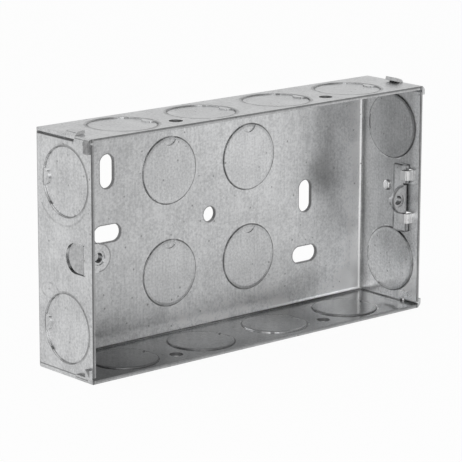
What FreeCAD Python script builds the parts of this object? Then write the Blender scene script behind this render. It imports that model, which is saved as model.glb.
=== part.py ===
import FreeCAD, Part
import os
import re

import Sketcher

# Flush back box for a twin wiring accessory, folded from one galvanised sheet, with one sliding screw lug.
# The frame is +X right and +Z up as seen from the open front, and +Y towards the wall behind the box. The origin
# is the centre of the back plate on its wall side, so the front rim lies at y = -depth.
SIZES = {
    # Box, outside sizes
    "width": 132.0,
    "height": 72.0,
    "depth": 27.0,
    "sheet": 1.1,
    "bend_radius": 1.2,
    # Knock-outs: round discs half sheared inwards, each left on a half-moon bridge
    "knock_radius": 10.35,
    "knock_step": 0.3,
    "knock_step_end": 0.5,
    "knock_bridge": 2.6,
    "knock_setback": 12.2,
    "knock_pitch": 29.9,
    "knock_end_rise": 21.8,
    "knock_back_side": 16.0,
    "knock_back_rise": 16.0,
    # Fixing slots and holes
    "slot_length": 10.4,
    "slot_width": 5.3,
    "slot_side": 40.0,
    "slot_rise": 19.0,
    "centre_hole_radius": 2.4,
    "wall_hole_radius": 2.1,
    "wall_hole_setback": 6.0,
    # Screw lugs, fixed and sliding
    "screw_inset": 5.7,
    "screw_hole_radius": 1.5,
    "lead_radius": 2.2,
    "lead_depth": 0.3,
    "collar_wall": 0.7,
    "collar_reach": 1.2,
    "lug_setback": 4.0,
    "lug_bend": 0.5,
    "fixed_lug_width": 8.6,
    "fixed_lug_reach": 10.0,
    "fixed_lug_window": 8.7,
    # Sliding lug: a strip along the end wall with a tab folded in
    "strip_length": 22.0,
    "strip_width": 6.0,
    "strip_corner": 1.0,
    "slide_tab_width": 9.2,
    "slide_tab_reach": 8.2,
    "slide_tab_relief": 0.4,
    "slide_gap": 0.15,
    "stop_gap": 0.1,
    # Hooks that hold the strip, and the pip pressed in behind it
    "hook_spacing": 14.0,
    "hook_height": 3.1,
    "hook_gap": 0.2,
    "hook_lap": 1.6,
    "hook_bend": 0.4,
    "hook_window": 5.2,
    "lance_gap": 0.25,
    "pip_width": 3.0,
    "pip_stretch": 0.6,
    "pip_rise": 0.9,
    "pip_round": 0.8,
    "pip_wall": 0.8,
    "pip_above": 2.2,
    "pip_gap": 2.4,
    # Corners: seam, folded tab of the end wall, and the long wall's lip and ear
    "corner_gap": 0.3,
    "rim_gap": 0.8,
    "rim_slit": 7.2,
    "tab_setback": 7.2,
    "tab_setback_right": 8.8,
    "tab_width": 4.6,
    "tab_reach": 3.6,
    "tab_bend": 0.3,
    "tab_gap": 0.05,
    "tab_lift_left": 3.0,
    "tab_lift_right": 18.0,
    "notch_gap": 0.12,
    "ear_setback": 0.2,
    "ear_width": 2.0,
    "ear_drop_left": 4.4,
    "ear_drop_right": 2.8,
    "lip_width": 6.4,
    "lip_drop": 2.0,
    "ear_gap": 0.05,
    "ear_bend": 0.6,
}

# Formulas that several features share
HALF_WIDTH = "(width / 2)"
HALF_HEIGHT = "(height / 2)"
END_INSIDE = "(width / 2 - sheet)"
LONG_INSIDE = "(height / 2 - sheet)"
LUG_FRONT = "(lug_setback - depth)"
SCREW_SIDE = "(width / 2 - screw_inset)"
SLIDE_BACK = f"({END_INSIDE} - slide_gap)"
SLIDE_FACE = f"({SLIDE_BACK} - sheet)"
HOOK_UNDER = f"({SLIDE_FACE} - hook_gap)"
HOOK_INNER_Z = "((hook_spacing - hook_height) / 2)"
SLIDE_DROP = f"({HOOK_INNER_Z} - slide_tab_width / 2 - stop_gap)"

document = FreeCAD.newDocument("flush_back_box")
sheet = document.addObject("Spreadsheet::Sheet", "sizes")
for row, (alias, size) in enumerate(SIZES.items(), start=1):
    sheet.set(f"A{row}", alias)
    sheet.set(f"B{row}", str(size))
    sheet.setAlias(f"B{row}", alias)
document.recompute()


def formula(text):
    """Put the sheet's name before each size in a formula."""
    return re.sub(r"[a-z_]+", lambda word: "sizes." + word[0] if word[0] in SIZES else word[0], text)


def value(text):
    """Work a formula out as a plain number."""
    result = sheet.evalExpression(formula(text))
    return float(getattr(result, "Value", result))


def bind(thing, name, text):
    """Tie a property to a formula of the sheet."""
    thing.setExpression(name, formula(text))


def new_body(label):
    body = document.addObject("PartDesign::Body", label)
    body.Label = label
    return body


def sketch_on(body, name, plane, offset="0"):
    """Start a sketch on one of the body's own planes, moved along that plane's normal."""
    sketch = body.newObject("Sketcher::SketchObject", name)
    planes = {feature.Role: feature for feature in body.Origin.OriginFeatures}
    sketch.AttachmentSupport = (planes[plane], [""])
    sketch.MapMode = "FlatFace"
    bind(sketch, "AttachmentOffset.Base.z", offset)
    return sketch


def hold(sketch, side, position, axis, text):
    """Fix one coordinate of a point of a sketch by a formula."""
    kind = "DistanceX" if axis == 0 else "DistanceY"
    index = sketch.addConstraint(Sketcher.Constraint(kind, -1, 1, side, position, value(text)))
    bind(sketch, f"Constraints[{index}]", text)


def outline(sketch, corners, arcs=None):
    """Draw a closed outline through corners, which are pairs of formulas.

    arcs maps the number of a side to its arc: the centre's two formulas, and 1 or -1 for a left or a right turn.
    """
    arcs = arcs or {}
    points = [FreeCAD.Vector(value(x), value(y), 0) for x, y in corners]
    starts = []
    ends = []
    for number, start in enumerate(points):
        end = points[(number + 1) % len(points)]
        if number not in arcs:
            side = sketch.addGeometry(Part.LineSegment(start, end), False)
            starts.append((side, 1))
            ends.append((side, 2))
            continue
        centre_x, centre_y, turn = arcs[number]
        centre = FreeCAD.Vector(value(centre_x), value(centre_y), 0)
        first, last = (start, end) if turn > 0 else (end, start)
        angles = [FreeCAD.Vector(1, 0, 0).getAngle(spot - centre) for spot in (first, last)]
        signs = [1 if spot.y >= centre.y else -1 for spot in (first, last)]
        circle = Part.Circle(centre, FreeCAD.Vector(0, 0, 1), centre.distanceToPoint(start))
        side = sketch.addGeometry(Part.ArcOfCircle(circle, angles[0] * signs[0], angles[1] * signs[1]), False)
        starts.append((side, 1 if turn > 0 else 2))
        ends.append((side, 2 if turn > 0 else 1))
    for number, (side, position) in enumerate(starts):
        sketch.addConstraint(Sketcher.Constraint("Coincident", *ends[number - 1], side, position))
        hold(sketch, side, position, 0, corners[number][0])
        hold(sketch, side, position, 1, corners[number][1])
    for number, (centre_x, centre_y, turn) in arcs.items():
        chord = points[(number + 1) % len(points)] - points[number]
        axis = 1 if abs(chord.x) > abs(chord.y) else 0
        hold(sketch, starts[number][0], 3, axis, (centre_x, centre_y)[axis])


def rectangle(sketch, x_low, y_low, x_high, y_high):
    outline(sketch, [(x_low, y_low), (x_high, y_low), (x_high, y_high), (x_low, y_high)])


def circle(sketch, x, y, radius):
    centre = FreeCAD.Vector(value(x), value(y), 0)
    ring = sketch.addGeometry(Part.Circle(centre, FreeCAD.Vector(0, 0, 1), value(radius)), False)
    index = sketch.addConstraint(Sketcher.Constraint("Radius", ring, value(radius)))
    bind(sketch, f"Constraints[{index}]", radius)
    hold(sketch, ring, 3, 0, x)
    hold(sketch, ring, 3, 1, y)


def slot(sketch, x, y, long_axis, length="slot_length", width="slot_width"):
    """A round-ended slot with its long way along the sketch's axis 0 or 1."""
    half = f"({width}) / 2"
    run = f"(({length}) - ({width})) / 2"
    if long_axis == 1:
        corners = [(f"{x} - {half}", f"{y} - {run}"), (f"{x} + {half}", f"{y} - {run}"),
                   (f"{x} + {half}", f"{y} + {run}"), (f"{x} - {half}", f"{y} + {run}")]
        arcs = {0: (x, f"{y} - {run}", 1), 2: (x, f"{y} + {run}", 1)}
    else:
        corners = [(f"{x} - {run}", f"{y} - {half}"), (f"{x} + {run}", f"{y} - {half}"),
                   (f"{x} + {run}", f"{y} + {half}"), (f"{x} - {run}", f"{y} + {half}")]
        arcs = {1: (f"{x} + {run}", y, 1), 3: (f"{x} - {run}", y, 1)}
    outline(sketch, corners, arcs)


def knock_out(sketch, x, y, bridge_axis):
    """A knock-out's disc, less the half-moon bridge at its far end along the sketch's axis 0 or 1."""
    along = "(knock_radius - knock_bridge ^ 2 / (2 * knock_radius))"
    across = "(knock_bridge * sqrt(1 - (knock_bridge / (2 * knock_radius)) ^ 2))"
    if bridge_axis == 1:
        corners = [(f"{x} - {across}", f"{y} + {along}"), (f"{x} + {across}", f"{y} + {along}")]
        bridge = (x, f"{y} + knock_radius")
    else:
        corners = [(f"{x} + {along}", f"{y} + {across}"), (f"{x} + {along}", f"{y} - {across}")]
        bridge = (f"{x} + knock_radius", y)
    outline(sketch, corners, {0: (x, y, 1), 1: (*bridge, -1)})


def pad(body, sketch, length, reverse=False, both_ways=False):
    """Thicken a sketch by a length, along its normal unless reversed."""
    feature = body.newObject("PartDesign::Pad", sketch.Name + "_pad")
    feature.Profile = sketch
    bind(feature, "Length", length)
    feature.Reversed = reverse
    if both_ways:
        feature.SideType = "Symmetric"
    finish(body, feature)
    return feature


def pocket(body, sketch, length, reverse=False, both_ways=False):
    """Cut a sketch out by a length, against its normal unless reversed, and see that it cuts."""
    before = body.Shape.Volume
    feature = body.newObject("PartDesign::Pocket", sketch.Name + "_cut")
    feature.Profile = sketch
    bind(feature, "Length", length)
    feature.Reversed = reverse
    if both_ways:
        feature.SideType = "Symmetric"
    finish(body, feature)
    if not body.Shape.Volume < before:
        raise RuntimeError(f"{feature.Name} cuts nothing")
    return feature


def mirror(body, name, originals, plane):
    """Repeat features on the other side of one of the body's own planes."""
    planes = {feature.Role: feature for feature in body.Origin.OriginFeatures}
    feature = body.newObject("PartDesign::Mirrored", name)
    feature.Originals = originals
    feature.MirrorPlane = (planes[plane], [""])
    finish(body, feature)
    return feature


def finish(body, feature):
    body.Tip = feature
    document.recompute()


def named(shape, kind, test):
    """Names of the faces or edges of a shape that pass a test."""
    items = shape.Faces if kind == "Face" else shape.Edges
    return [f"{kind}{number}" for number, item in enumerate(items, start=1) if test(item.BoundBox)]


def make_tray(body):
    """Five sides of the folded sheet: a block with round back edges, hollowed from the front."""
    sketch = sketch_on(body, "back_outline", "XZ_Plane")
    rectangle(sketch, f"-{HALF_WIDTH}", f"-{HALF_HEIGHT}", HALF_WIDTH, HALF_HEIGHT)
    block = pad(body, sketch, "depth")
    touch = value("sheet") / 100
    bends = body.newObject("PartDesign::Fillet", "back_bends")
    bends.Base = (block, named(block.Shape, "Edge", lambda box: box.YMin > -touch))
    bind(bends, "Radius", "bend_radius + sheet")
    finish(body, bends)
    front = -value("depth")
    tray = body.newObject("PartDesign::Thickness", "tray")
    tray.Base = (bends, named(bends.Shape, "Face", lambda box: box.YMax < front + touch))
    bind(tray, "Value", "sheet")
    tray.Reversed = True
    finish(body, tray)


def open_corners(body):
    """Part the end walls from the long walls at the four corners.

    The top wall runs over the edges of the end walls, with a notch for each tab. The end walls run down past the
    bottom wall, with a tab hammered flush into it. Near the rim, both long walls run to the box's full width.
    """
    overrun = "sheet"
    outside = f"({HALF_WIDTH} + {overrun})"
    seams = sketch_on(body, "top_seams", "XZ_Plane", f"depth + {overrun}")
    rims = sketch_on(body, "rim_seams", "XZ_Plane", f"depth + {overrun}")
    for x_sign in (1, -1):
        x_sides = sorted((f"{x_sign} * ({END_INSIDE} - corner_gap)", f"{x_sign} * {outside}"), key=value)
        rectangle(seams, x_sides[0], f"{LONG_INSIDE} - corner_gap", x_sides[1], LONG_INSIDE)
        rectangle(rims, x_sides[0], f"{LONG_INSIDE} - rim_gap", x_sides[1], LONG_INSIDE)
        rectangle(rims, x_sides[0], f"-{LONG_INSIDE}", x_sides[1], f"-{LONG_INSIDE} + rim_gap")
    pocket(body, seams, f"depth + 2 * {overrun}")
    pocket(body, rims, f"rim_slit + {overrun}")
    through = f"{overrun} + sheet + corner_gap / 2"
    notches = sketch_on(body, "tab_notches", "XY_Plane", f"{HALF_HEIGHT} + {overrun}")
    inside = f"({END_INSIDE} - tab_bend)"
    for setback, x_low, x_high in (("tab_setback", f"-{outside}", f"-{inside}"),
                                   ("tab_setback_right", inside, outside)):
        rectangle(notches, x_low, f"{setback} - notch_gap - depth", x_high,
                  f"{setback} + tab_width + notch_gap - depth")
    pocket(body, notches, through)
    slits = sketch_on(body, "bottom_seams", "XY_Plane", f"-{HALF_HEIGHT} - {overrun}")
    tip = f"({HALF_WIDTH} - tab_reach)"
    front = "(tab_setback - depth)"
    back = "(tab_setback + tab_width - depth)"
    bend = "(-sheet - bend_radius)"
    corners = [(f"({tip} - notch_gap)", f"({front} - notch_gap)"), (outside, f"({front} - notch_gap)"),
               (outside, front), (tip, front), (tip, back), (END_INSIDE, back), (END_INSIDE, bend),
               (f"({END_INSIDE} - corner_gap)", bend), (f"({END_INSIDE} - corner_gap)", f"({back} + notch_gap)"),
               (f"({tip} - notch_gap)", f"({back} + notch_gap)")]
    for x_sign in (1, -1):
        outline(slits, [(f"{x_sign} * {x}", y) for x, y in corners])
    pocket(body, slits, through, reverse=True)


def tab_outline(sketch, x_sign, z_sign, crown, lift):
    """Section of a corner tab: up from the end wall, round a bend and in over the long wall.

    crown is the height of the flat tab's outer face, and lift the angle that its free end springs up by.
    """
    inner_radius = "tab_bend"
    outer_radius = "(tab_bend + sheet)"
    centre_x = f"({END_INSIDE} - tab_bend)"
    centre_z = f"({crown} - {outer_radius})"
    run = f"(tab_reach - {outer_radius})"
    rise = f"sin({lift} * 1 deg)"
    lean = f"cos({lift} * 1 deg)"
    foot = f"({LONG_INSIDE} - rim_gap - sheet)"
    bend_end = [(f"{centre_x} + {radius} * {rise}", f"{centre_z} + {radius} * {lean}")
                for radius in (outer_radius, inner_radius)]
    tip = [(f"{x} - {run} * {lean}", f"{z} + {run} * {rise}") for x, z in bend_end]
    corners = [(END_INSIDE, foot), (HALF_WIDTH, foot), (HALF_WIDTH, centre_z), bend_end[0], tip[0], tip[1],
               bend_end[1], (END_INSIDE, centre_z)]
    turn = x_sign * z_sign
    corners = [(f"{x_sign} * ({x})", f"{z_sign} * ({z})") for x, z in corners]
    centre = (f"{x_sign} * {centre_x}", f"{z_sign} * {centre_z}")
    outline(sketch, corners, {2: (*centre, turn), 6: (*centre, -turn)})


def add_corner_tabs(body):
    """Tabs of the end walls that pass through the notches and spring up a little over the top wall."""
    crown = f"({HALF_HEIGHT} + tab_gap + sheet)"
    for name, x_sign, setback, lift in (("left_tab", -1, "tab_setback", "tab_lift_left"),
                                        ("right_tab", 1, "tab_setback_right", "tab_lift_right")):
        sketch = sketch_on(body, name, "XZ_Plane", f"depth - {setback} - tab_width")
        tab_outline(sketch, x_sign, 1, crown, lift)
        pad(body, sketch, "tab_width")


def add_ears(body):
    """Lips of the long walls, folded round the end walls at the rim, each with a longer ear at its front."""
    inner_face = f"({HALF_WIDTH} + ear_gap)"
    outer_face = f"({HALF_WIDTH} + ear_gap + sheet)"
    centre = (f"({inner_face} - ear_bend)", f"({LONG_INSIDE} - ear_bend)")
    root = f"({END_INSIDE} - sheet)"
    for name, width, left_drop, right_drop in (("ears", "ear_width", "ear_drop_left", "ear_drop_right"),
                                               ("lips", "lip_width", "lip_drop", "lip_drop")):
        sketch = sketch_on(body, name, "XZ_Plane", f"depth - ear_setback - {width}")
        for x_sign, drop in ((1, right_drop), (-1, left_drop)):
            foot = f"({HALF_HEIGHT} - {drop})"
            corners = [(root, LONG_INSIDE), (centre[0], LONG_INSIDE), (inner_face, centre[1]), (inner_face, foot),
                       (outer_face, foot), (outer_face, centre[1]), (centre[0], HALF_HEIGHT), (root, HALF_HEIGHT)]
            for z_sign in (1, -1):
                turn = x_sign * z_sign
                signed = [(f"{x_sign} * {x}", f"{z_sign} * {z}") for x, z in corners]
                middle = (f"{x_sign} * {centre[0]}", f"{z_sign} * {centre[1]}")
                outline(sketch, signed, {1: (*middle, -turn), 5: (*middle, turn)})
        pad(body, sketch, width)


def add_knock_outs(body):
    """Sink every knock-out's disc on the outside and raise it on the inside by the same step.

    The discs of the end walls are pushed in farther than the others.
    """
    back_sketches = [sketch_on(body, "back_knock_bosses", "XZ_Plane", "sheet"),
                     sketch_on(body, "back_knock_sinks", "XZ_Plane")]
    end_sketches = [sketch_on(body, "end_knock_bosses", "YZ_Plane", f"-{END_INSIDE}"),
                    sketch_on(body, "end_knock_sinks", "YZ_Plane", f"-{HALF_WIDTH}")]
    top_sketches = [sketch_on(body, "top_knock_bosses", "XY_Plane", LONG_INSIDE),
                    sketch_on(body, "top_knock_sinks", "XY_Plane", HALF_HEIGHT)]
    centre_y = "(knock_setback - depth)"
    for back, end, top in zip(back_sketches, end_sketches, top_sketches):
        for x_sign in (1, -1):
            for z_sign in (1, -1):
                knock_out(back, f"{x_sign} * knock_back_side", f"{z_sign} * knock_back_rise", 1)
        for z_sign in (1, -1):
            knock_out(end, centre_y, f"{z_sign} * knock_end_rise", 0)
        for pitches in (-1.5, -0.5, 0.5, 1.5):
            knock_out(top, f"{pitches} * knock_pitch", centre_y, 0)
    pad(body, back_sketches[0], "knock_step")
    pocket(body, back_sketches[1], "knock_step", reverse=True)
    ends = [pad(body, end_sketches[0], "knock_step_end"),
            pocket(body, end_sketches[1], "knock_step_end", reverse=True)]
    mirror(body, "right_end_knock_outs", ends, "YZ_Plane")
    tops = [pad(body, top_sketches[0], "knock_step", reverse=True), pocket(body, top_sketches[1], "knock_step")]
    mirror(body, "bottom_knock_outs", tops, "XY_Plane")


def cut_fixings(body):
    """Fixing slots and centre hole of the back plate, and the small holes of the long walls."""
    back = sketch_on(body, "back_fixings", "XZ_Plane", "-sheet")
    slot(back, "-slot_side", "slot_rise", 1)
    slot(back, "slot_side", "0", 1)
    slot(back, "-slot_side", "0", 0)
    slot(back, "slot_side", "-slot_rise", 0)
    circle(back, "0", "0", "centre_hole_radius")
    pocket(body, back, "3 * sheet", reverse=True)
    walls = sketch_on(body, "wall_holes", "XY_Plane")
    for x_sign in (1, -1):
        circle(walls, f"{x_sign} * knock_pitch", "(wall_hole_setback - depth)", "wall_hole_radius")
    pocket(body, walls, "2 * height", both_ways=True)


def folded_lug(body, name, fold_x, x_sign, fold_y, y_sign, width, tip):
    """A quarter bend and the round-ended tab that follows it, with the tab's front face at the lugs' setback.

    fold_x is the bend's centre across the box and fold_y along its depth. x_sign points from the bend's centre to
    the wall, and y_sign from it to the tab.
    """
    bend = sketch_on(body, name + "_bend", "XY_Plane")
    outer = "(lug_bend + sheet)"
    corners = [(f"{fold_x} + {x_sign} * lug_bend", fold_y), (f"{fold_x} + {x_sign} * {outer}", fold_y),
               (fold_x, f"{fold_y} + {y_sign} * {outer}"), (fold_x, f"{fold_y} + {y_sign} * lug_bend")]
    turn = x_sign * y_sign
    outline(bend, corners, {1: (fold_x, fold_y, turn), 3: (fold_x, fold_y, -turn)})
    pad(body, bend, width, both_ways=True)
    tab = sketch_on(body, name + "_tab", "XZ_Plane", "depth - lug_setback")
    round_x = f"({tip} + {x_sign} * {width} / 2)"
    half = f"({width} / 2)"
    corners = [(fold_x, f"-{half}"), (round_x, f"-{half}"), (round_x, half), (fold_x, half)]
    outline(tab, corners, {1: (round_x, "0", -x_sign)})
    pad(body, tab, "sheet", reverse=True)


def tap_lug(body, name, x):
    """A plunged and tapped screw hole: a collar behind the tab, a hole through both and a rounded lead-in."""
    collar = sketch_on(body, name + "_collar", "XZ_Plane", "depth - lug_setback - sheet")
    circle(collar, x, "0", "screw_hole_radius + collar_wall")
    pad(body, collar, "collar_reach", reverse=True)
    hole = sketch_on(body, name + "_hole", "XZ_Plane", "depth")
    circle(hole, x, "0", "screw_hole_radius")
    pocket(body, hole, "lug_setback + 2 * sheet + collar_reach")
    lead = sketch_on(body, name + "_lead", "XZ_Plane", "depth - lug_setback")
    circle(lead, x, "0", "lead_radius")
    pocket(body, lead, "lead_depth")


def add_fixed_lug(body):
    """The left lug: lanced from the end wall, with its window left behind, and folded in."""
    window = sketch_on(body, "fixed_lug_window", "YZ_Plane", f"-{HALF_WIDTH} - sheet")
    half = "(fixed_lug_width / 2 + lance_gap)"
    front = f"({LUG_FRONT} - lug_bend)"
    straight = f"({front} + fixed_lug_window - {half})"
    corners = [(front, f"-{half}"), (straight, f"-{half}"), (straight, half), (front, half)]
    outline(window, corners, {1: (straight, "0", 1)})
    pocket(body, window, "3 * sheet", reverse=True)
    fold_x = f"(-{END_INSIDE} + lug_bend)"
    tip = f"(-{HALF_WIDTH} + fixed_lug_reach)"
    folded_lug(body, "fixed_lug", fold_x, -1, f"({LUG_FRONT} - lug_bend)", 1, "fixed_lug_width", tip)
    tap_lug(body, "fixed_lug", f"-{SCREW_SIDE}")


def add_hooks(body):
    """Two hooks lanced from the right end wall that reach back over the strip's front margin."""
    riser = f"({LUG_FRONT} - hook_gap - sheet)"
    root = f"({riser} - hook_bend)"
    windows = sketch_on(body, "hook_windows", "YZ_Plane", f"{HALF_WIDTH} + sheet")
    low = f"({HOOK_INNER_Z} - lance_gap)"
    high = f"({HOOK_INNER_Z} + hook_height + lance_gap)"
    rectangle(windows, root, low, f"{root} + hook_window", high)
    rectangle(windows, root, f"-{high}", f"{root} + hook_window", f"-{low}")
    pocket(body, windows, "3 * sheet")
    hooks = sketch_on(body, "hooks", "XY_Plane", HOOK_INNER_Z)
    foot_x = f"({END_INSIDE} - hook_bend)"
    head_x = f"({HOOK_UNDER} + hook_bend)"
    head_y = f"({riser} + sheet + hook_bend)"
    tip_y = f"({LUG_FRONT} + hook_lap)"
    corners = [(HALF_WIDTH, root), (foot_x, f"{riser} + sheet"), (head_x, f"{riser} + sheet"),
               (HOOK_UNDER, head_y), (HOOK_UNDER, tip_y), (f"{HOOK_UNDER} - sheet", tip_y),
               (f"{HOOK_UNDER} - sheet", head_y), (head_x, riser), (foot_x, riser), (END_INSIDE, root)]
    arcs = {0: (foot_x, root, 1), 2: (head_x, head_y, -1), 6: (head_x, head_y, 1), 8: (foot_x, root, -1)}
    outline(hooks, corners, arcs)
    upper = pad(body, hooks, "hook_height")
    mirror(body, "lower_hook", [upper], "XY_Plane")


def add_pip(body):
    """A round-topped pip pressed in from outside behind the strip, so that the strip can't slip back."""
    middle = f"({LUG_FRONT} + strip_width + pip_gap + pip_width / 2)"
    top = f"({END_INSIDE} - pip_rise)"
    boss = sketch_on(body, "pip", "YZ_Plane", END_INSIDE)
    slot(boss, middle, "pip_above", 1, "pip_width + pip_stretch", "pip_width")
    raised = pad(body, boss, "pip_rise", reverse=True)
    touch = value("sheet") / 100
    level = value(top)
    near = value(f"{middle} - pip_width")
    far = value(f"{middle} + pip_width")
    edges = named(raised.Shape, "Edge", lambda box: abs(box.XMax - level) < touch and box.XLength < touch
                  and near < box.YMin and box.YMax < far)
    dome = body.newObject("PartDesign::Fillet", "pip_dome")
    dome.Base = (raised, edges)
    bind(dome, "Radius", "pip_round")
    finish(body, dome)
    dent = sketch_on(body, "pip_dent", "YZ_Plane", HALF_WIDTH)
    half_width = "(pip_width / 2 - pip_wall)"
    half_length = "((pip_width + pip_stretch) / 2 - pip_wall)"
    rectangle(dent, f"{middle} - {half_width}", f"pip_above - {half_length}", f"{middle} + {half_width}",
              f"pip_above + {half_length}")
    pocket(body, dent, "pip_rise")


def make_back_box():
    body = new_body("back_box")
    make_tray(body)
    open_corners(body)
    add_corner_tabs(body)
    add_ears(body)
    add_knock_outs(body)
    cut_fixings(body)
    add_fixed_lug(body)
    add_hooks(body)
    add_pip(body)
    return body


def make_adjustable_lug():
    """The sliding lug, drawn with its tab at mid height and placed at the foot of its travel."""
    body = new_body("adjustable_lug")
    strip = sketch_on(body, "strip", "YZ_Plane", SLIDE_BACK)
    rear = f"({LUG_FRONT} + strip_width)"
    notch = f"({LUG_FRONT} + sheet + lug_bend)"
    notch_half = "(slide_tab_width / 2 + slide_tab_relief)"
    half = "(strip_length / 2)"
    near = f"({LUG_FRONT} + strip_corner)"
    far = f"({rear} - strip_corner)"
    low = f"(-{half} + strip_corner)"
    high = f"({half} - strip_corner)"
    corners = [(near, f"-{half}"), (far, f"-{half}"), (rear, low), (rear, high), (far, half), (near, half),
               (LUG_FRONT, high), (LUG_FRONT, notch_half), (notch, notch_half), (notch, f"-{notch_half}"),
               (LUG_FRONT, f"-{notch_half}"), (LUG_FRONT, low)]
    arcs = {1: (far, low, 1), 3: (far, high, 1), 5: (near, high, 1), 11: (near, low, 1)}
    outline(strip, corners, arcs)
    pad(body, strip, "sheet", reverse=True)
    fold_x = f"({SLIDE_FACE} - lug_bend)"
    tip = f"({HALF_WIDTH} - slide_tab_reach)"
    folded_lug(body, "slide", fold_x, 1, notch, -1, "slide_tab_width", tip)
    tap_lug(body, "slide", SCREW_SIDE)
    bind(body, "Placement.Base.z", f"-{SLIDE_DROP}")
    return body


nodes = [make_back_box(), make_adjustable_lug()]
document.recompute()

for thing in document.Objects:
    if "Invalid" in thing.State or "Error" in thing.State:
        raise RuntimeError(f"{thing.Name} failed: {thing.State}")
for node in nodes:
    if node.Shape.isNull() or not node.Shape.isValid() or len(node.Shape.Solids) != 1:
        raise RuntimeError(f"{node.Label} is not one valid solid")

os.makedirs("parts", exist_ok=True)
for node in nodes:
    node.Shape.exportStep(f"parts/{node.Label}.step")
    box = node.Shape.BoundBox
    print(f"{node.Label}: volume {node.Shape.Volume:.1f} mm3, x {box.XMin:.2f} to {box.XMax:.2f}, "
          f"y {box.YMin:.2f} to {box.YMax:.2f}, z {box.ZMin:.2f} to {box.ZMax:.2f}")
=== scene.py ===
# %% [markdown]
# # A flush back box in galvanised sheet
# The solids of a shallow steel wall box are loaded as a fixed frame. This lesson leaves their shapes alone
# and gives them what a solid can't have: zinc, with its spangle, rolling lines, specks and sheared edges.
# It then sets up a plain studio like the one in the photograph.

# %% Load the frame
import math

import bpy
from mathutils import Matrix, Vector


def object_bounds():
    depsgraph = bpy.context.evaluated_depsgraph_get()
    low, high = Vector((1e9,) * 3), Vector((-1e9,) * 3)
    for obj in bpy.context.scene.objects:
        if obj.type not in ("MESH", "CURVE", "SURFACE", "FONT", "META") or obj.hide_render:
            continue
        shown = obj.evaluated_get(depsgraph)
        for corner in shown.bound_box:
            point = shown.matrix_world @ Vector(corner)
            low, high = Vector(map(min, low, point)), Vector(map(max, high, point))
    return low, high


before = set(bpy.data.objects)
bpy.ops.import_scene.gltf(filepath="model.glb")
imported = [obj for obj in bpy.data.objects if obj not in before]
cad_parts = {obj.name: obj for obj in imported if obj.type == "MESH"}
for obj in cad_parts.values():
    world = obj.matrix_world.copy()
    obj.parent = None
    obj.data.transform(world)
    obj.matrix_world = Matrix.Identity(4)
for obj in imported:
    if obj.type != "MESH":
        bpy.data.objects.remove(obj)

cad_low, cad_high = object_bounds()
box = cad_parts["back_box"]
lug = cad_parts["adjustable_lug"]
scene = bpy.context.scene
scene.view_settings.view_transform = "Standard"
print("box in mm:", [round(1000 * side, 1) for side in cad_high - cad_low])

# %% [markdown]
# ## The camera
# A camera can be put by eye, or worked out from points that can be found both on the photograph and on the
# box. The second way keeps every edge in its place, so the angles, the distance and the lens below come
# from such a fit: a long lens about 0.8 m away, left of the open front and a little above it. The
# photograph isn't centred on the lens's axis, which is what the small shift is for.

# %% Camera
IMAGE_SIDE = 462
SENSOR = 36.0
TURN, RISE, ROLL = (math.radians(angle) for angle in (41.0785, 13.2387, 0.1934))
AIM = Vector((0, -0.0135, 0))
DISTANCE = 0.780625
FOCAL_PIXELS = 2561.12
AXIS_PIXEL = (235.774, 221.160)

ahead = Vector((math.sin(TURN) * math.cos(RISE), math.cos(TURN) * math.cos(RISE), -math.sin(RISE)))
level = ahead.cross(Vector((0, 0, 1))).normalized()
upright = level.cross(ahead)
side = level * math.cos(ROLL) + upright * math.sin(ROLL)
top = upright * math.cos(ROLL) - level * math.sin(ROLL)

lens = bpy.data.cameras.new("camera")
lens.sensor_fit = "HORIZONTAL"
lens.sensor_width = SENSOR
lens.lens = FOCAL_PIXELS / IMAGE_SIDE * SENSOR
lens.shift_x = 0.5 - AXIS_PIXEL[0] / IMAGE_SIDE
lens.shift_y = AXIS_PIXEL[1] / IMAGE_SIDE - 0.5
lens.clip_start = 0.01
lens.clip_end = 50
camera = bpy.data.objects.new("camera", lens)
turned = Matrix((side, top, -ahead)).transposed().to_4x4()
camera.matrix_world = Matrix.Translation(AIM - ahead * DISTANCE) @ turned
scene.collection.objects.link(camera)
scene.camera = camera
print("camera at", [round(x, 3) for x in camera.location], "lens", round(lens.lens, 1), "mm")

# %% [markdown]
# ## Shader sums in plain Python
# Galvanising is a pile of small effects: spangle, rolling lines, specks, a dark ring round each knock-out.
# Each is a sum on the place and the direction of the surface. Drawing such sums as nodes by hand is slow,
# so a small class wraps a node's output and lets Python's own operators add the Math nodes. A second class
# holds the tree, and its one method makes any other node.

# %% Wires and benches
class Wire:
    """An output of a node. Sums on wires add Math nodes."""

    def __init__(self, bench, socket):
        self.bench = bench
        self.socket = socket

    def maths(self, operation, *values):
        return self.bench.node("ShaderNodeMath", {"operation": operation}, dict(enumerate(values)))

    def __add__(self, other):
        return self.maths("ADD", self, other)

    def __sub__(self, other):
        return self.maths("SUBTRACT", self, other)

    def __rsub__(self, other):
        return self.maths("SUBTRACT", other, self)

    def __mul__(self, other):
        return self.maths("MULTIPLY", self, other)

    def __truediv__(self, other):
        return self.maths("DIVIDE", self, other)

    def __rtruediv__(self, other):
        return self.maths("DIVIDE", other, self)

    def __pow__(self, other):
        return self.maths("POWER", self, other)

    def __gt__(self, other):
        return self.maths("GREATER_THAN", self, other)

    def __lt__(self, other):
        return self.maths("LESS_THAN", self, other)

    def __abs__(self):
        return self.maths("ABSOLUTE", self)

    __radd__ = __add__
    __rmul__ = __mul__


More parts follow.
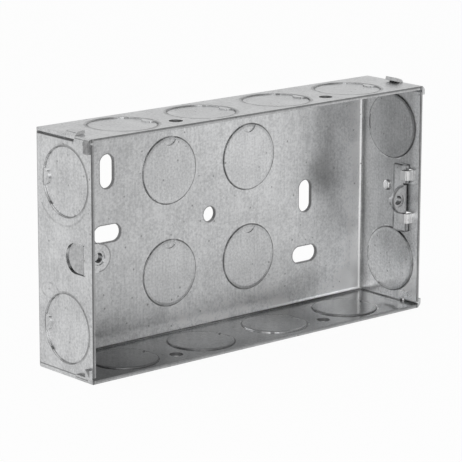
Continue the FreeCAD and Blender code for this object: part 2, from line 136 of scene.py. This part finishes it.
class Bench:
    """A node tree to work on."""

    def __init__(self, tree):
        self.tree = tree
        tree.nodes.clear()

    def node(self, kind, settings=None, inputs=None, out=0):
        """Add a node, set it up, feed its sockets with numbers or wires, and return one of its outputs."""
        made = self.tree.nodes.new(kind)
        for name, setting in (settings or {}).items():
            setattr(made, name, setting)
        for name, value in (inputs or {}).items():
            if isinstance(value, Wire):
                self.tree.links.new(value.socket, made.inputs[name])
            else:
                made.inputs[name].default_value = value
        return Wire(self, made.outputs[out]) if made.outputs else made

    def ease(self, value, low, high):
        """0 below low and 1 above high, with a soft step between."""
        return self.node("ShaderNodeMapRange", {"interpolation_type": "SMOOTHSTEP"},
                         {"Value": value, "From Min": low, "From Max": high})

    def fall(self, value, low, high):
        """1 below low and 0 above high."""
        return 1 - self.ease(value, low, high)

    def mix(self, share, first, second):
        """Blend two colours."""
        return self.node("ShaderNodeMix", {"data_type": "RGBA"}, {0: share, 6: first, 7: second}, out=2)

    def apart(self, vector):
        """The three parts of a vector."""
        parts = self.node("ShaderNodeSeparateXYZ", None, {0: vector})
        return [Wire(self, socket) for socket in parts.socket.node.outputs]

    def together(self, x, y, z):
        return self.node("ShaderNodeCombineXYZ", None, {0: x, 1: y, 2: z})

    def noise(self, place, scale, detail=2.0, rough=0.5):
        return self.node("ShaderNodeTexNoise", None,
                         {"Vector": place, "Scale": scale, "Detail": detail, "Roughness": rough})


def finish_bench(name):
    material = bpy.data.materials.new(name)
    material.use_nodes = True
    return material, Bench(material.node_tree)


def hypot(a, b):
    return (a * a + b * b) ** 0.5


def largest(first, second):
    return first.maths("MAXIMUM", first, second)


def signed(size, wire):
    """The size with the wire's sign."""
    return wire.maths("SIGN", wire) * size


def band(bench, distance, full, none):
    """1 as far as full from a line, and 0 from none on."""
    return bench.fall(abs(distance), full, none)


print("wires and benches are ready")

# %% [markdown]
# ## Where on the sheet
# All marks are placed in millimetres of the box's own frame, so they stay put from any side. The knock-outs
# are mirrored about the middle of each wall, and folding the coordinates with an absolute value gives all
# of them from one ring. Which wall a point is on comes from the surface's direction, and so does whether it
# is inside.

# %% Places on the sheet
KNOCK_RADIUS = 10.35
BACK_KNOCKS = (16.0, 16.0)
END_KNOCKS = 21.8
LONG_PITCH = 29.9
KNOCK_Y = -14.8
MIDDLE_Y = -13.5
PLATE_FRONT = -2.5
RIM_BACK = -26.8
SQUARE_ON = 0.75
EDGE_ON = 0.5


class Sheet:
    """The wires that every mark on the sheet needs."""

    def __init__(self, bench):
        where = bench.node("ShaderNodeTexCoord", out="Object")
        self.place = bench.node("ShaderNodeVectorMath", {"operation": "SCALE"}, {0: where, "Scale": 1000.0})
        self.x, self.y, self.z = bench.apart(self.place)
        facing = Wire(bench, where.socket.node.outputs["Normal"])
        self.nx, self.ny, self.nz = bench.apart(facing)
        self.on_end = abs(self.nx) > SQUARE_ON
        self.on_back = abs(self.ny) > SQUARE_ON
        self.on_long = abs(self.nz) > SQUARE_ON
        self.inside = (self.x * self.nx + (self.y - MIDDLE_Y) * self.ny + self.z * self.nz) < 0
        self.outside = 1 - self.inside
        self.plate = self.on_back * self.inside * (self.y > PLATE_FRONT)
        self.right_wall = self.on_end * self.inside * (self.x > 0)
        self.floor = self.on_long * self.inside * (self.z < 0)
        self.outside_left = self.on_end * self.outside * (self.x < 0)
        self.outside_top = self.on_long * self.outside * (self.z > 0)
        self.rim = (self.y < RIM_BACK) * (self.ny < -SQUARE_ON)
        self.end_ring = hypot(self.y - KNOCK_Y, abs(self.z) - END_KNOCKS) - KNOCK_RADIUS
        back = hypot(abs(self.x) - BACK_KNOCKS[0], abs(self.z) - BACK_KNOCKS[1]) - KNOCK_RADIUS
        long = hypot(abs(abs(self.x) - LONG_PITCH) - LONG_PITCH / 2, self.y - KNOCK_Y) - KNOCK_RADIUS
        self.ring = self.on_end * self.end_ring + self.on_back * back + self.on_long * long


print("knock-outs: back", BACK_KNOCKS, "ends", END_KNOCKS, "long walls", LONG_PITCH / 2, 1.5 * LONG_PITCH)

# %% [markdown]
# ## Zinc
# The real finish is zinc on steel: a grey metal with a satin sheen. A painted grey would never mirror the
# tab in the wall or the walls in the floor of the box, so the shader is a full metal. Its colour carries
# the zinc's clouds, the rolling lines of the sheet and small dark specks, which gather round the punched
# edges.

# %% Zinc
ZINC_DARK = (0.46, 0.465, 0.47, 1)
ZINC_LIGHT = (0.79, 0.795, 0.80, 1)
LINES_PER_MM = 1.5
LINE_RUN = 0.06
CLOUDS_PER_MM = 0.13
GRAINS_PER_MM = 1.4
SPECKS_PER_MM = 0.34
SPECK_SIZE = (0.05, 0.15)
SPECK_LIMIT = 1.08
MARKED_RADIUS = 9.0


def zinc_tone(bench, sheet):
    """Clouds, rolling lines and grain as one number round 0.5, with the clouds and a height alongside."""
    # The strip runs upwards through the back plate and the ends, and from front to back in the long walls
    along = sheet.z * (1 - sheet.on_long) + sheet.y * sheet.on_long
    across = sheet.x * (1 - sheet.on_end) + sheet.y * sheet.on_end
    wall = sheet.on_long * 7.0 + sheet.on_end * 3.0
    rolled = bench.together(across * LINES_PER_MM, along * LINE_RUN, wall)
    lines = bench.noise(rolled, 1.0, 3.0, 0.6) - 0.5
    clouds = bench.noise(sheet.place, CLOUDS_PER_MM) - 0.5
    grain = bench.noise(sheet.place, GRAINS_PER_MM, 3.0, 0.65) - 0.5
    tone = 0.5 + lines * 0.45 + clouds * 0.65 + grain * 1.25
    return tone, clouds, grain * 0.5 + lines * 0.3


def specks(bench, sheet):
    """Small dark specks, more of them in some places than in others and most along the knock-outs."""
    cells = bench.node("ShaderNodeTexVoronoi", None, {"Vector": sheet.place, "Scale": SPECKS_PER_MM})
    chance = bench.node("ShaderNodeSeparateColor", None, {0: Wire(bench, cells.socket.node.outputs["Color"])})
    patches = bench.noise(sheet.place, 0.07, 1.0)
    punched = band(bench, sheet.ring + 0.6, 0.5, 2.0)
    marked = band(bench, hypot(sheet.x, sheet.z) - MARKED_RADIUS, 1.0, 4.0) * sheet.plate
    crowd = chance + patches + punched * 0.38 + marked * 0.33
    return bench.fall(cells, *SPECK_SIZE) * (crowd > SPECK_LIMIT)


print("zinc from", ZINC_DARK[:3], "to", ZINC_LIGHT[:3])

# %% [markdown]
# ## Painted light and shade
# No wall is evenly lit, and the light and shade of each is painted into its colour. The back plate is lighter
# towards its right bend and its bottom, and has a painted dark reflection and a patch of painted shade, with
# a dark streak above the reflection. The right wall is lighter at its lower front, with painted highlights
# and a painted reflection of the tab, and has painted shade along the bend. The floor of the box is painted
# darker, most of all at its ends, and so are some bends. Each place is a soft step along some direction, and
# it adds to the zinc or takes from it.

# %% Painted light and shade
REFLECTION_MIDDLE = (47.5, 7.0)
REFLECTION_HALF = (8.0, 10.0)
STREAK_X = 48.0
PATCH_MIDDLE = (42.0, -28.0)
PATCH_HALF = (10.0, 8.0)
TAB_REFLECTION_Z = -0.75
BENT = 0.2


def plate_light_and_shade(bench, sheet):
    """Painted light and shade on the back plate: lighter towards the right bend, the bottom and the upper
    right corner.
    """
    def blot(middle, half):
        return bench.fall(hypot((sheet.x - middle[0]) / half[0], (sheet.z - middle[1]) / half[1]), 0.1, 1.0)

    # A painted dark reflection of the right wall and the lug's strip, and a patch of painted shade at the
    # lower right.
    painted_dark_patches = blot(REFLECTION_MIDDLE, REFLECTION_HALF) * 0.45 + blot(PATCH_MIDDLE, PATCH_HALF) * 0.3
    dark_streak = bench.fall(abs(sheet.x - STREAK_X), 2.0, 6.0) * bench.ease(sheet.z, 6.0, 16.0)
    # A painted highlight along the right bend; the bottom, the upper right corner and the middle are painted
    # lighter too.
    right_bend = bench.ease(sheet.x, 52.0, 61.0)
    bottom = bench.fall(sheet.z, -33.0, -18.0) * (0.08 + bench.ease(sheet.x, -55.0, 0.0) * 0.42)
    corner = bench.ease(sheet.x + sheet.z * 1.3, 0.0, 45.0)
    middle = bench.ease(sheet.x, -45.0, -10.0)
    return right_bend * 0.32 + bottom + corner * 0.2 + middle * 0.07 - painted_dark_patches - dark_streak * 0.16


def right_wall_light_and_shade(bench, sheet):
    """Painted light and shade on the right end wall: lighter at the bottom and along the rim, a painted
    reflection of the tab between the hooks, painted highlights beside the lower disc, and darker along its
    bend.
    """
    # Painted light: lighter at the bottom, along the rim and in streaks at the lower front, with a painted
    # highlight beside the lower disc.
    bottom = bench.fall(sheet.z, -26.0, -13.0)
    # The light panel between the hooks is a painted reflection of the lug's tab.
    tab_reflection = bench.fall(sheet.y, -24.0, -22.8) * bench.fall(abs(sheet.z - TAB_REFLECTION_Z), 5.2, 6.2)
    front = bench.fall(sheet.y, -26.0, -23.0)
    glint = band(bench, sheet.end_ring - 1.4, 0.5, 1.2) * (sheet.y < KNOCK_Y - 4.0)
    glint = glint * bench.fall(sheet.z, -24.0, -19.0)
    streaks = bench.ease(bench.noise(bench.together(sheet.y * 1.1, sheet.z * 0.1, 5.0), 1.0), 0.3, 0.7)
    streaks = streaks * bench.fall(sheet.z, -32.0, -24.0) * bench.fall(sheet.y, -25.0, -17.0)
    # Painted shade over the upper half and the upper disc, and along the bend.
    upper_disc = (sheet.end_ring < 0) * (sheet.z > 0)
    along_bend = bench.ease(sheet.y, -4.0, -1.2)
    wall_shade = bench.ease(sheet.z, -12.0, 0.0) * 0.07 + upper_disc * 0.1 + along_bend * 0.3 + 0.12
    return bottom * 0.42 + tab_reflection * 0.5 + front * 0.25 + glint * 0.8 + streaks * 0.6 - wall_shade


def floor_shade(bench, sheet):
    """Painted shade on the floor of the box: how much of its colour it loses, most of all at its ends."""
    left = bench.fall(sheet.x, -64.0, -10.0)
    right = bench.ease(sheet.x, 10.0, 30.0)
    far_right = bench.ease(sheet.x, 44.0, 60.0)
    return left * 0.52 + right * 0.53 - far_right * 0.08 + 0.17


def bend_shade(bench, sheet):
    """Painted shade on the bends: the floor's on the inside, and those behind the left wall and the top."""
    floor = (sheet.ny < -BENT) * (sheet.nz > BENT) * bench.fall(sheet.x, 0.0, 45.0)
    left = (sheet.nx < -BENT) * (sheet.ny > 0.25)
    top = (sheet.nz > BENT) * (sheet.ny > BENT)
    return floor * 0.1 + left * 0.4 + top * 0.35


def painted_light_and_shade(bench, sheet):
    """All the painted light and shade as one factor on the colour, with the outside of the top a little
    darker.
    """
    return (1 + sheet.plate * plate_light_and_shade(bench, sheet) + sheet.right_wall * right_wall_light_and_shade(bench, sheet)
            - sheet.floor * floor_shade(bench, sheet) - bend_shade(bench, sheet) - sheet.outside_top * 0.05)


print("stain at", REFLECTION_MIDDLE, "mm on the back plate")

# %% [markdown]
# ## Punched and cut edges
# Where the sheet is cut there is no zinc, so the rim and the walls of the slots and holes are dull. The
# shears leave one half of the rim's width smoother than the other, so each side of it is a dark and a
# lighter line.

# %% Edges of the sheet
SLOT_RADIUS = 2.65
SLOT_RUN = 2.55
SLOT_SIDE = 40.0
SLOT_RISE = 19.0
CENTRE_RADIUS = 2.4
RIM_SIDE = (64.9, 65.45)
RIM_RISE = 35.45
RIM_BLEND = 0.2
HOLE_Y = -21.0
LONG_INSIDE = 34.95


def cut_edges(bench, sheet):
    """How dark and rough a cut edge is, where it has no zinc: 0 on the zinc."""
    uneven = bench.noise(sheet.place, 0.35, 3.0) - 0.5
    upright = abs(sheet.x) > RIM_SIDE[0]
    low = (1 - upright) * (sheet.z < 0)
    high = (1 - upright) * (sheet.z > 0)
    left_half = bench.fall(sheet.x - signed(RIM_SIDE[1], sheet.x), -RIM_BLEND, RIM_BLEND)
    upper_half = bench.ease(sheet.z - signed(RIM_RISE, sheet.z), -RIM_BLEND, RIM_BLEND)
    rim = (upright * (0.4 + left_half * 0.42) + low * (0.35 + upper_half * 0.28)
           + high * (0.12 + upper_half * 0.55))
    slots = (abs(sheet.ny) < 0.3) * (sheet.y > -1.08) * (abs(sheet.x) < 60.0) * (abs(sheet.z) < 30.0)
    drilled = (abs(sheet.y - HOLE_Y) < 2.4) * (abs(sheet.x) < 34.0)
    holes = (abs(sheet.nz) < 0.3) * (abs(sheet.z) > LONG_INSIDE) * drilled
    return sheet.rim * (rim + uneven * 0.3) + slots * 0.8 + holes * 0.85


def slot_lines(bench, sheet):
    """The dark line round the slots and the centre hole: the punch's rolled edge, with its shade painted in.
    """
    def bar(along, across):
        return hypot(largest(abs(along) - SLOT_RUN, 0.0), across) - SLOT_RADIUS

    left = sheet.x + SLOT_SIDE
    right = sheet.x - SLOT_SIDE
    upright_slots = (bar(sheet.z - SLOT_RISE, left), bar(sheet.z, right))
    level_slots = (bar(left, sheet.z), bar(right, sheet.z + SLOT_RISE))
    nearest = hypot(sheet.x, sheet.z) - CENTRE_RADIUS
    for edge in upright_slots + level_slots:
        nearest = nearest.maths("MINIMUM", nearest, edge)
    return band(bench, nearest, 0.12, 0.42) * sheet.plate * 0.5


print("slots", 2 * SLOT_RADIUS, "by", 2 * (SLOT_RADIUS + SLOT_RUN), "mm")

# %% [markdown]
# ## Knock-outs
# A knock-out is sheared half through: it has a dark line round it, light bits of burr along the line, and
# on its inside an edge that is rolled over by about a millimetre, which a bump can give. In the end walls
# the discs stand in farthest, and the front of each one gets a dark crescent of painted shade; the steps of
# the discs on the right and on the floor get painted shade, and those on the left a painted highlight. The
# top wall is seen almost edge on, and only a broad line shows there.

# %% Knock-outs
END_INSIDE = 63.5
FLOOR_STEP = -34.75
BRIGHT_STEP_X = 15.0
ROLLED_EDGE = (1.1, 0.9)
SOFT_BEND_X = 59.5
SOFT_BEND_Z = -31.0


def shear_lines(bench, sheet, broken):
    """The dark line round each knock-out, with a broad one over it on the top wall."""
    wobble = bench.noise(sheet.place, 0.8) - 0.5
    fine = band(bench, sheet.ring + wobble * 0.14, 0.08, 0.38) * (0.4 + broken * 0.4)
    broad = band(bench, sheet.ring - 0.3, 0.35, 1.0) * (0.2 + broken * 0.2)
    return fine * (1 - sheet.outside_top * 0.4) + broad * sheet.outside_top


def crescent_and_step_shade(bench, sheet):
    """Painted shade: the dark crescents at the fronts of the discs in the end walls, and the darkened steps
    on the right and on the floor.
    """
    forwards = KNOCK_Y - sheet.y
    up = sheet.z - signed(END_KNOCKS, sheet.z)
    upper = sheet.z > 0
    on_right = bench.ease(forwards * 0.085 + up * 0.04, 0.3, 0.95) * sheet.right_wall * (0.2 + upper * 0.35)
    on_left = bench.ease(forwards * 0.09 + up * 0.04, -0.3, 0.7) * sheet.outside_left * 0.55
    fronts = (band(bench, sheet.end_ring + 0.25, 0.15, 0.75) * on_right
              + band(bench, sheet.end_ring - 0.2, 0.2, 0.8) * on_left)
    # Painted shade on the steps of the discs on the right and on the floor.
    right_step = (abs(sheet.end_ring) < 0.1) * (abs(sheet.nx) < EDGE_ON) * (sheet.x > END_INSIDE)
    floor_step = (abs(sheet.z - FLOOR_STEP) < 0.2) * (abs(sheet.nz) < EDGE_ON) * (sheet.y > -26.0)
    shaded_step = floor_step * (abs(sheet.x - BRIGHT_STEP_X) > 11.0)
    return largest(fronts, right_step * (0.35 + upper * 0.4) + shaded_step * 0.6)


def scuffs(bench, sheet, broken):
    """A second arc beside the upper knock-out of the left wall, and a small oval above the lower one."""
    arc = band(bench, hypot(sheet.y - KNOCK_Y - 1.2, sheet.z - 21.0) - 12.3, 0.1, 0.5) * (sheet.z < 14.0)
    oval = band(bench, hypot((sheet.y + 7.0) / 4.0, (sheet.z + 11.8) / 2.3) - 1.0, 0.03, 0.16)
    return (arc + oval) * sheet.outside_left * broken * 0.3


def burrs_and_step_highlights(bench, sheet):
    """Light bits of burr beside the lines, and painted highlights on the steps of the left wall's discs."""
    bits = bench.ease(bench.noise(sheet.place, 0.45), 0.52, 0.62)
    shown = sheet.inside * (1 - sheet.floor * (sheet.x < 0))
    left_step = (sheet.end_ring < 0.35) * (abs(sheet.nx) < EDGE_ON) * (sheet.x < -END_INSIDE)
    return band(bench, sheet.ring - 0.4, 0.08, 0.28) * bits * shown + left_step


def rolled_edges(bench, sheet):
    """Heights for a bump: the rolled edges of the knock-outs, and the soft start of the plate's bends."""
    disc = bench.ease(sheet.ring, -ROLLED_EDGE[0], 0.0) * (sheet.ring < 0.0) * sheet.inside
    around = bench.fall(sheet.ring, 0.0, ROLLED_EDGE[1]) * (sheet.ring > 0.0) * sheet.outside
    right = largest(sheet.x - SOFT_BEND_X, 0.0)
    bottom = largest(SOFT_BEND_Z - sheet.z, 0.0)
    bends = right * right + bottom * bottom * (1 - bench.ease(sheet.x, 15.0, 40.0) * 0.65)
    return bends * sheet.plate * 0.4 - disc - around


print("rolled edges", ROLLED_EDGE, "mm")

# %% [markdown]
# ## Lugs and ears
# The two screw lugs have a rolled edge that shows as a thin line, and a thread painted in shade but for one
# turn with a painted highlight. The hooks over the sliding lug and the pip beside it get painted highlights,
# and the hooks painted shade on their top and bottom faces. The ear at the upper left is darker over its
# whole face, and the one below it has only a painted shadow of its gap.

# %% Lugs and ears
SCREW_SIDE = 60.3
SCREW_RADIUS = 1.6
FIXED_LUG = (-60.3, 0.0, 4.3)
SLIDING_LUG = (62.4, -0.75, 4.6)
LUGS_BACK = -19.0
STRIP_MIDDLE = (-20.0, -0.75)
STRIP_HALF = (3.0, 11.0)
HOOK_Z = 7.0
HOOK_HALF = 1.7
HOOK_BACK = -21.2
PIP_MIDDLE = (-13.1, 2.2)
PIP_RADIUS = 2.4
TOP_OUTSIDE = 36.05
EAR_SIDE = -66.02
EAR_BACK = -24.6


def lug_lines(bench, sheet, lug):
    """The thin line along a lug's round end, and painted shade on the thread in its hole, but for one turn
    with a painted highlight.
    """
    middle, height, radius = lug
    tip = (sheet.x - middle) * math.copysign(1.0, -middle) > 0
    edge = band(bench, hypot(sheet.x - middle, sheet.z - height) - radius + 0.2, 0.1, 0.35) * tip
    # Painted shade on the thread, but for one turn with a painted highlight.
    turn = 1 - band(bench, sheet.z - height + 0.1, 0.25, 0.5)
    inside_hole = hypot(abs(sheet.x) - SCREW_SIDE, sheet.z - height) < SCREW_RADIUS
    thread = inside_hole * (abs(sheet.ny) < EDGE_ON) * (0.15 + turn * 0.6)
    return (edge * sheet.on_back * 0.5 + thread) * (sheet.y < LUGS_BACK)


def bright_spots(bench, sheet):
    """Where highlights are painted: the pip, the hooks and the fronts of the top's tabs."""
    off_pip = hypot(sheet.y - PIP_MIDDLE[0], sheet.z - PIP_MIDDLE[1])
    pip = (off_pip < PIP_RADIUS) * (sheet.x < 64.85) * (sheet.x > END_INSIDE)
    off_hook = abs(abs(sheet.z) - HOOK_Z)
    hooks = (sheet.x > 60.0) * (sheet.x < 64.8) * (sheet.y < HOOK_BACK) * (off_hook < HOOK_HALF)
    tabs = (sheet.z > TOP_OUTSIDE) * (abs(sheet.nz) < EDGE_ON) * (sheet.y > -26.0) * (abs(sheet.nx) < 0.8)
    return pip, hooks, tabs


def strip_lines(bench, sheet):
    """The rolled edge all round the sliding lug's strip, and painted shade at its upper end."""
    past_y = abs(sheet.y - STRIP_MIDDLE[0]) - STRIP_HALF[0]
    past_z = abs(sheet.z - STRIP_MIDDLE[1]) - STRIP_HALF[1]
    uneven = bench.ease(bench.noise(sheet.place, 0.3), 0.3, 0.7)
    edge = bench.ease(largest(past_y, past_z), -0.75, -0.2)
    # Painted shade at the strip's upper end.
    upper_shade = bench.ease(sheet.z, 7.6, 9.6) * uneven * 0.45
    return (edge * (0.4 + uneven * 0.5) + upper_shade) * sheet.on_end * sheet.inside


def ear_marks(bench, sheet):
    """The darker face of the ear at the upper left, the painted shadow of the gap at the lower left and the
    dark seam along the top.
    """
    faces = (sheet.nx < -0.6) + (sheet.ny < -0.8) * (sheet.z > 0)
    ear = (sheet.x < EAR_SIDE) * (sheet.y < EAR_BACK) * faces
    uneven = 0.8 + (bench.noise(sheet.place, 0.8) - 0.5) * 0.8
    upper = bench.ease(sheet.z, 31.0, 32.2) * 0.75
    # Painted shadow of the lower ear's gap.
    gap = bench.ease((sheet.z + 34.4) * 0.85 - (sheet.y + 26.9), 0.0, 0.6) * (sheet.z < -31.0)
    end = (sheet.x < -65.9) * (sheet.nx < -0.9)
    seam = bench.ease(sheet.z, 33.9, 34.3) * end * (abs(sheet.y + 10.5) < 9.2)
    return ear * (upper + gap * 0.9) * uneven + seam * (sheet.z < LONG_INSIDE)


print("screws", 2 * SCREW_SIDE, "mm apart")

# %% [markdown]
# ## One material from all of it
# Both pieces are the same sheet, so one function makes both materials. The marks of the knock-outs go on
# the box and the marks of the strip on the lug. Bare edges and painted shade are darker and rougher than the
# zinc, and burrs and painted highlights are lighter.

# %% Galvanised finish
# A dark grey for the bare cut edges, also used for painted shade.
SHEAR_AND_SHADE_GREY = (0.13, 0.13, 0.132, 1)
SPECK_GREY = (0.16, 0.16, 0.16, 1)
# A light grey for burrs, also used for painted highlights.
BURR_AND_HIGHLIGHT_LIGHT = (0.95, 0.95, 0.95, 1)
TAB_DARKENING = 0.28
BEVEL_RADIUS = 0.00018
ROLLED_DEPTH = 0.00012
GRAIN_DEPTH = 0.0002


def scaled(bench, colour, factor):
    return bench.node("ShaderNodeVectorMath", {"operation": "SCALE"}, {0: colour, "Scale": factor})


def galvanised(name, is_box):
    material, bench = finish_bench(name)
    sheet = Sheet(bench)
    tone, clouds, height = zinc_tone(bench, sheet)
    speck = specks(bench, sheet)
    zinc = bench.mix(bench.ease(tone, 0.0, 1.0), ZINC_DARK, ZINC_LIGHT)
    normal = bench.node("ShaderNodeBevel", {"samples": 4}, {"Radius": BEVEL_RADIUS})
    if is_box:
        # The painted light and shade of each wall scale the zinc's colour.
        zinc = scaled(bench, zinc, painted_light_and_shade(bench, sheet))
        pip, hooks, tabs = bright_spots(bench, sheet)
        broken = bench.ease(bench.noise(sheet.place, 0.33), 0.3, 0.62)
        # Bare cut edges and dark lines, with painted shade on the thread, in the lower ear's gap and on the
        # top and bottom faces of the hooks.
        bare_and_shaded = cut_edges(bench, sheet) + lug_lines(bench, sheet, FIXED_LUG) + ear_marks(bench, sheet)
        bare_and_shaded = bare_and_shaded + slot_lines(bench, sheet) + hooks * sheet.on_long * 0.6
        sheared = shear_lines(bench, sheet, broken) + scuffs(bench, sheet, broken)
        # The marks take in the painted shade of the crescents and the disc steps.
        marks = largest(bare_and_shaded, largest(sheared, crescent_and_step_shade(bench, sheet)))
        # A painted highlight along the plate's right bend, and painted highlights on the pip, the hooks and
        # the tabs' fronts.
        bend = bench.ease(sheet.x, 59.0, 64.0) * sheet.plate
        light = burrs_and_step_highlights(bench, sheet) * 0.6 + pip + hooks * (1 - sheet.on_long) * 0.8 + tabs * 0.7 + bend * 0.5
        zinc = bench.mix(light, zinc, BURR_AND_HIGHLIGHT_LIGHT)
        rubbed = hooks * 0.2 + tabs * 0.4 - pip * 0.14
        normal = bench.node("ShaderNodeBump", None, {"Strength": 0.8, "Distance": ROLLED_DEPTH,
                                                     "Height": rolled_edges(bench, sheet), "Normal": normal})
    else:
        # On the lug: the rolled edge lines, painted shade on the thread and at the strip's upper end, and a
        # darker tab face.
        marks = lug_lines(bench, sheet, SLIDING_LUG) + strip_lines(bench, sheet) + sheet.on_back * TAB_DARKENING
        rubbed = 0.0
    zinc = bench.mix(speck * 0.5, zinc, SPECK_GREY)
    colour = bench.mix(marks, zinc, SHEAR_AND_SHADE_GREY)
    satin = 0.3 + sheet.plate * 0.08 - sheet.floor * 0.13
    roughness = satin + clouds * 0.16 + speck * 0.2 + marks * 0.25 + rubbed
    normal = bench.node("ShaderNodeBump", None, {"Strength": 0.10, "Distance": GRAIN_DEPTH,
                                                 "Height": height - speck * 0.6, "Normal": normal})
    shader = bench.node("ShaderNodeBsdfPrincipled", None,
                        {"Base Color": colour, "Metallic": 1.0, "Roughness": roughness, "Normal": normal})
    bench.node("ShaderNodeOutputMaterial", None, {"Surface": shader})
    return material


def dress(piece, material):
    piece.data.materials.clear()
    piece.data.materials.append(material)


dress(box, galvanised("galvanised_sheet", True))
dress(lug, galvanised("galvanised_lug", False))
print("finished:", [material.name for material in bpy.data.materials])

# %% [markdown]
# ## The studio
# The photograph is cut out on white, and the metal shows what stood around it: a white table, a sweep
# behind it and a dimmer room in front. The table is white to the camera. In the metal it is greyer towards
# the front, where the photographer stood, and it keeps more of its shadow. Light Path tells the two apart.
# Under the box a painted shadow dims the table's glow for both.

# %% World and table
WHITE = (1.0, 1.0, 1.0, 1)
SWEEP = (0.8, 0.8, 0.8, 1)
ROOM_LEFT = (0.6, 0.6, 0.6, 1)
ROOM_RIGHT = (0.35, 0.35, 0.35, 1)
SOFT = (0.65, 0.65, 0.65, 1)
TABLE_FRONT = (0.52, 0.52, 0.52, 1)
TABLE_MATT = (0.8, 0.8, 0.8, 1)
FRONT_STARTS = (0.12, 0.22)
SEEN_GLOW = 0.95
MIRRORED_GLOW = 0.62
HIDDEN_GLOW = 0.4
HIDDEN_HALF = (0.0655, 0.0125)
TABLE_SIDE = 12
TABLE_GAP = 0.00005


def seen_rays(bench):
    """1 for light that goes straight to the camera, and 1 for light that metal or glass sends there."""
    straight = bench.node("ShaderNodeLightPath", out="Is Camera Ray")
    outputs = straight.socket.node.outputs
    glossy = Wire(bench, outputs["Is Glossy Ray"])
    through = Wire(bench, outputs["Is Transmission Ray"])
    return straight, largest(glossy, through)


scene.world = bpy.data.worlds.new("studio")
scene.world.use_nodes = True
bench = Bench(scene.world.node_tree)
right, back, _ = bench.apart(bench.node("ShaderNodeTexCoord", out="Generated"))
room = bench.mix(bench.ease(right, -0.4, 0.3), ROOM_LEFT, ROOM_RIGHT)
sweep = bench.mix(bench.ease(back, -0.5, 0.2), room, SWEEP)
straight, mirrored = seen_rays(bench)
sky = bench.node("ShaderNodeBackground", None, {"Color": bench.mix(straight + mirrored, SOFT, sweep)})
bench.node("ShaderNodeOutputWorld", None, {"Surface": sky})

material, bench = finish_bench("white_table")
x, y, _ = bench.apart(bench.node("ShaderNodeTexCoord", out="Object"))
nearer = x * -math.sin(TURN) + y * -math.cos(TURN)
straight, mirrored = seen_rays(bench)
glow_colour = bench.mix(bench.ease(nearer, *FRONT_STARTS) * mirrored, WHITE, TABLE_FRONT)
matt = bench.node("ShaderNodeBsdfDiffuse", None, {"Color": TABLE_MATT})
glow = bench.node("ShaderNodeEmission", None, {"Color": glow_colour, "Strength": 1.0})
# Painted shadow: the table's glow is cut back under the box.
shadow_under_box = (abs(x) < HIDDEN_HALF[0]) * (abs(y - MIDDLE_Y / 1000) < HIDDEN_HALF[1])
share = (straight * SEEN_GLOW + mirrored * MIRRORED_GLOW) * (1 - shadow_under_box * (1 - HIDDEN_GLOW))
blend = bench.node("ShaderNodeMixShader", None, {0: share, 1: matt, 2: glow})
bench.node("ShaderNodeOutputMaterial", None, {"Surface": blend})
bpy.ops.mesh.primitive_plane_add(size=TABLE_SIDE, location=(0, 0, cad_low.z - TABLE_GAP))
floor = bpy.context.object
floor.name = "white_table"
dress(floor, material)
print("floor at", round(1000 * floor.location.z, 2), "mm")

# %% [markdown]
# ## Lamps
# One wide soft box stands behind the camera and a little above it, which is what lights the floor of the
# box and the lower right wall by way of the back plate. A second one hangs above and to the left and gives
# the shadow. Both are large and mild, because metal shows a small lamp as a spot.

# %% Lamps


def soft_box(name, place, width, watts):
    lamp = bpy.data.lights.new(name, "AREA")
    lamp.shape = "SQUARE"
    lamp.size = width
    lamp.energy = watts
    hanger = bpy.data.objects.new(name, lamp)
    hanger.location = place
    hanger.rotation_euler = (AIM - Vector(place)).to_track_quat("-Z", "Y").to_euler()
    scene.collection.objects.link(hanger)
    print(name, "lamp", watts, "W")


soft_box("camera_side", (-0.85, -1.0, 0.42), 0.75, 2.7)
soft_box("above", (-0.7, 0.1, 1.2), 0.9, 2.5)
